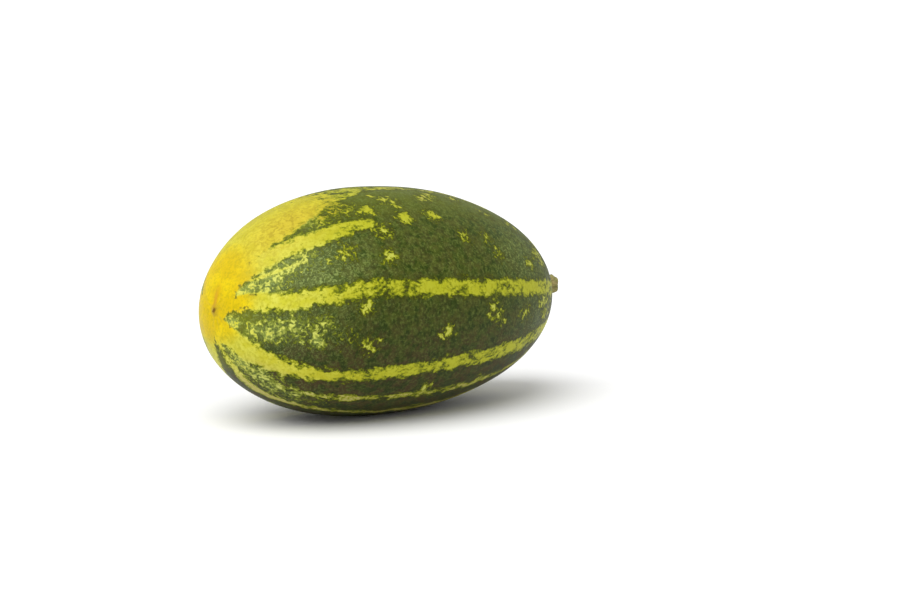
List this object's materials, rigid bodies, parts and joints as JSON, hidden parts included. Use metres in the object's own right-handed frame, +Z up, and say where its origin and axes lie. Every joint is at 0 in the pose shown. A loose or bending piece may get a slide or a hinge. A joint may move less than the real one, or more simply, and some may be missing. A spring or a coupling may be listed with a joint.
{
  "type": "striped cucumber",
  "caption": "Whole plump egg-shaped cucumber as picked, green skin with ragged yellow stripes, short cut stalk, lying on a small flat spot.",
  "frame": {"origin": "middle of the small flat spot on the underside, on which the fruit rests", "axes": "+X along the fruit towards the stalk, -X towards the blossom end, +Z up"},
  "size_m": [0.1546, 0.082, 0.0814],
  "materials": {
    "skin": "satin natural rind, dark mottled green with ragged yellow stripes and a yellow blossom end",
    "stalk": "dry, ridged green-tan stalk with a pale cut end"
  },
  "bodies": {
    "root": {"fruit": "skin", "stalk": "stalk"}
  },
  "joints": []
}
